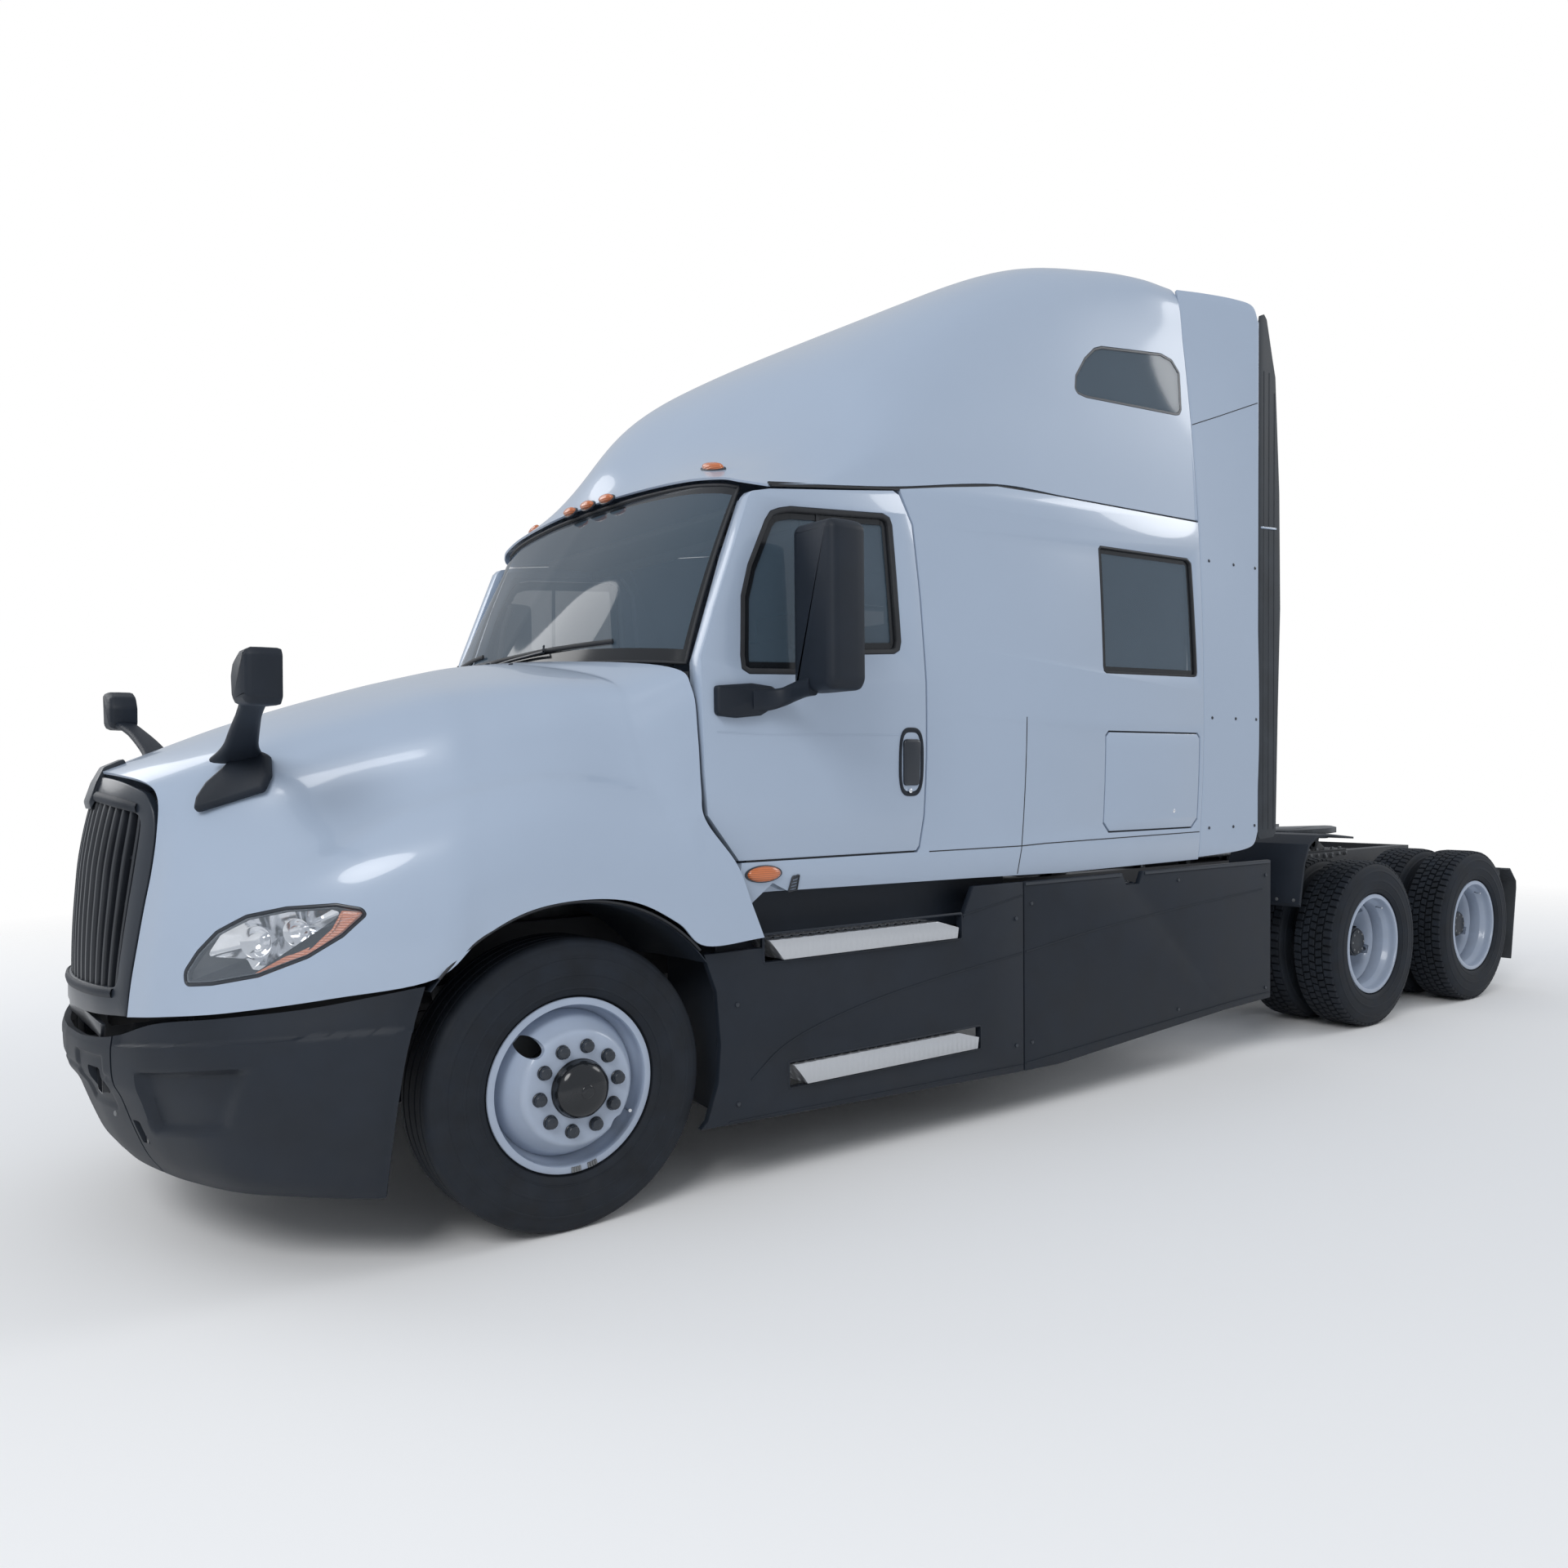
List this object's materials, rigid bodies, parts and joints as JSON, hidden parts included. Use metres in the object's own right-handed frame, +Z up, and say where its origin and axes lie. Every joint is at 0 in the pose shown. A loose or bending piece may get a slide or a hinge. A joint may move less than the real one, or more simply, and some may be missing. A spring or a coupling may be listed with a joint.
{
  "type": "semi truck tractor unit",
  "caption": "Bonneted long-haul tractor unit with a high sleeper cab, side skirts, tandem drive axles and a tilting fifth wheel for a semi-trailer.",
  "frame": {"origin": "bottom centre of the bounding box, on the ground under the middle of the truck", "axes": "+X to the left side of the truck, +Y to the rear, +Z up"},
  "size_m": [3.057, 8.672, 4.1123],
  "materials": {
    "white_paint": "gloss",
    "black_plastic": "matt",
    "chassis_black": "satin",
    "steel_grey": "satin",
    "tread_alloy": "brushed",
    "tank_alloy": "satin",
    "cast_steel": "greased",
    "wheel_paint": "gloss",
    "tyre_rubber": "matt",
    "flap_rubber": "matt",
    "cab_glass": "clear",
    "lamp_lens": "clear",
    "interior_grey": "matt",
    "seat_fabric": "woven",
    "grille_black": "satin"
  },
  "bodies": {
    "chassis": {"frame": "chassis_black", "bumper": "black_plastic", "engine_block": "steel_grey", "driveshaft": "steel_grey", "radiator": "tank_alloy", "front_axle": "chassis_black", "front_springs": "chassis_black", "fuel_tanks": "tank_alloy", "battery_box": "chassis_black", "exhaust_box": "steel_grey", "side_skirts": "black_plastic", "steps": "tread_alloy", "rear_axles": "chassis_black", "rear_suspension": "chassis_black", "fifth_wheel_base": "chassis_black", "deck_plate": "tread_alloy", "mudflaps": "flap_rubber", "quarter_fenders": "black_plastic", "cab_floor": "interior_grey", "firewall": "black_plastic", "cab_side_left": "white_paint", "cab_side_right": "white_paint", "back_wall": "white_paint", "roof_cap": "white_paint", "windscreen": "cab_glass", "side_windows": "cab_glass", "side_extenders": "white_paint", "extender_flaps": "flap_rubber", "dashboard": "interior_grey", "steering_wheel": "interior_grey", "seats": "seat_fabric", "bunk": "seat_fabric"},
    "hood_assembly": {"hood": "white_paint", "grille": "grille_black", "headlamps": "lamp_lens", "hood_mirrors": "black_plastic"},
    "left_door": {"door_left": "white_paint", "door_glass_left": "cab_glass", "door_mirror_left": "black_plastic"},
    "right_door": {"door_right": "white_paint", "door_glass_right": "cab_glass", "door_mirror_right": "black_plastic"},
    "left_luggage_door": {"luggage_door_left": "white_paint"},
    "right_luggage_door": {"luggage_door_right": "white_paint"},
    "coupling_plate": {"fifth_wheel_plate": "cast_steel"},
    "left_knuckle": {"knuckle_left": "chassis_black"},
    "right_knuckle": {"knuckle_right": "chassis_black"},
    "left_front_wheel": {"front_tyre_left": "tyre_rubber", "front_rim_left": "wheel_paint"},
    "right_front_wheel": {"front_tyre_right": "tyre_rubber", "front_rim_right": "wheel_paint"},
    "left_front_drive_wheels": {"drive_tyres_front_left": "tyre_rubber", "drive_rims_front_left": "wheel_paint"},
    "right_front_drive_wheels": {"drive_tyres_front_right": "tyre_rubber", "drive_rims_front_right": "wheel_paint"},
    "left_rear_drive_wheels": {"drive_tyres_rear_left": "tyre_rubber", "drive_rims_rear_left": "wheel_paint"},
    "right_rear_drive_wheels": {"drive_tyres_rear_right": "tyre_rubber", "drive_rims_rear_right": "wheel_paint"}
  },
  "joints": [
    {"name": "hood_hinge", "type": "hinge", "parent": "chassis", "child": "hood_assembly", "pos_m": [0, -4.272, 0.765], "axis": [1, 0, 0], "range_deg": [0, 60]},
    {"name": "left_door_hinge", "type": "hinge", "parent": "chassis", "child": "left_door", "pos_m": [1.18, -2.516, 1.6], "axis": [0, 0, -1], "range_deg": [0, 70]},
    {"name": "right_door_hinge", "type": "hinge", "parent": "chassis", "child": "right_door", "pos_m": [-1.18, -2.516, 1.6], "axis": [0, 0, 1], "range_deg": [0, 70]},
    {"name": "left_luggage_hinge", "type": "hinge", "parent": "chassis", "child": "left_luggage_door", "pos_m": [1.19, 0.066, 1.738], "axis": [0, -1, 0], "range_deg": [0, 90]},
    {"name": "right_luggage_hinge", "type": "hinge", "parent": "chassis", "child": "right_luggage_door", "pos_m": [-1.19, 0.066, 1.738], "axis": [0, 1, 0], "range_deg": [0, 90]},
    {"name": "coupling_tilt", "type": "hinge", "parent": "chassis", "child": "coupling_plate", "pos_m": [0, 2.82, 1.045], "axis": [1, 0, 0], "range_deg": [-15, 15]},
    {"name": "left_steer", "type": "hinge", "parent": "chassis", "child": "left_knuckle", "pos_m": [0.86, -3.03, 0.5], "axis": [0, 0, 1], "range_deg": [-35, 35]},
    {"name": "right_steer", "type": "hinge", "parent": "chassis", "child": "right_knuckle", "pos_m": [-0.86, -3.03, 0.5], "axis": [0, 0, 1], "range_deg": [-35, 35]},
    {"name": "left_front_spin", "type": "hinge", "parent": "left_knuckle", "child": "left_front_wheel", "pos_m": [1.02, -3.03, 0.5], "axis": [1, 0, 0], "continuous": true},
    {"name": "right_front_spin", "type": "hinge", "parent": "right_knuckle", "child": "right_front_wheel", "pos_m": [-1.02, -3.03, 0.5], "axis": [1, 0, 0], "continuous": true},
    {"name": "left_front_drive_spin", "type": "hinge", "parent": "chassis", "child": "left_front_drive_wheels", "pos_m": [0.916, 2.16, 0.5], "axis": [1, 0, 0], "continuous": true},
    {"name": "right_front_drive_spin", "type": "hinge", "parent": "chassis", "child": "right_front_drive_wheels", "pos_m": [-0.916, 2.16, 0.5], "axis": [1, 0, 0], "continuous": true},
    {"name": "left_rear_drive_spin", "type": "hinge", "parent": "chassis", "child": "left_rear_drive_wheels", "pos_m": [0.916, 3.48, 0.5], "axis": [1, 0, 0], "continuous": true},
    {"name": "right_rear_drive_spin", "type": "hinge", "parent": "chassis", "child": "right_rear_drive_wheels", "pos_m": [-0.916, 3.48, 0.5], "axis": [1, 0, 0], "continuous": true}
  ],
  "couplings": [
    {"joint": "right_steer", "follows": "left_steer", "ratio": 1}
  ]
}
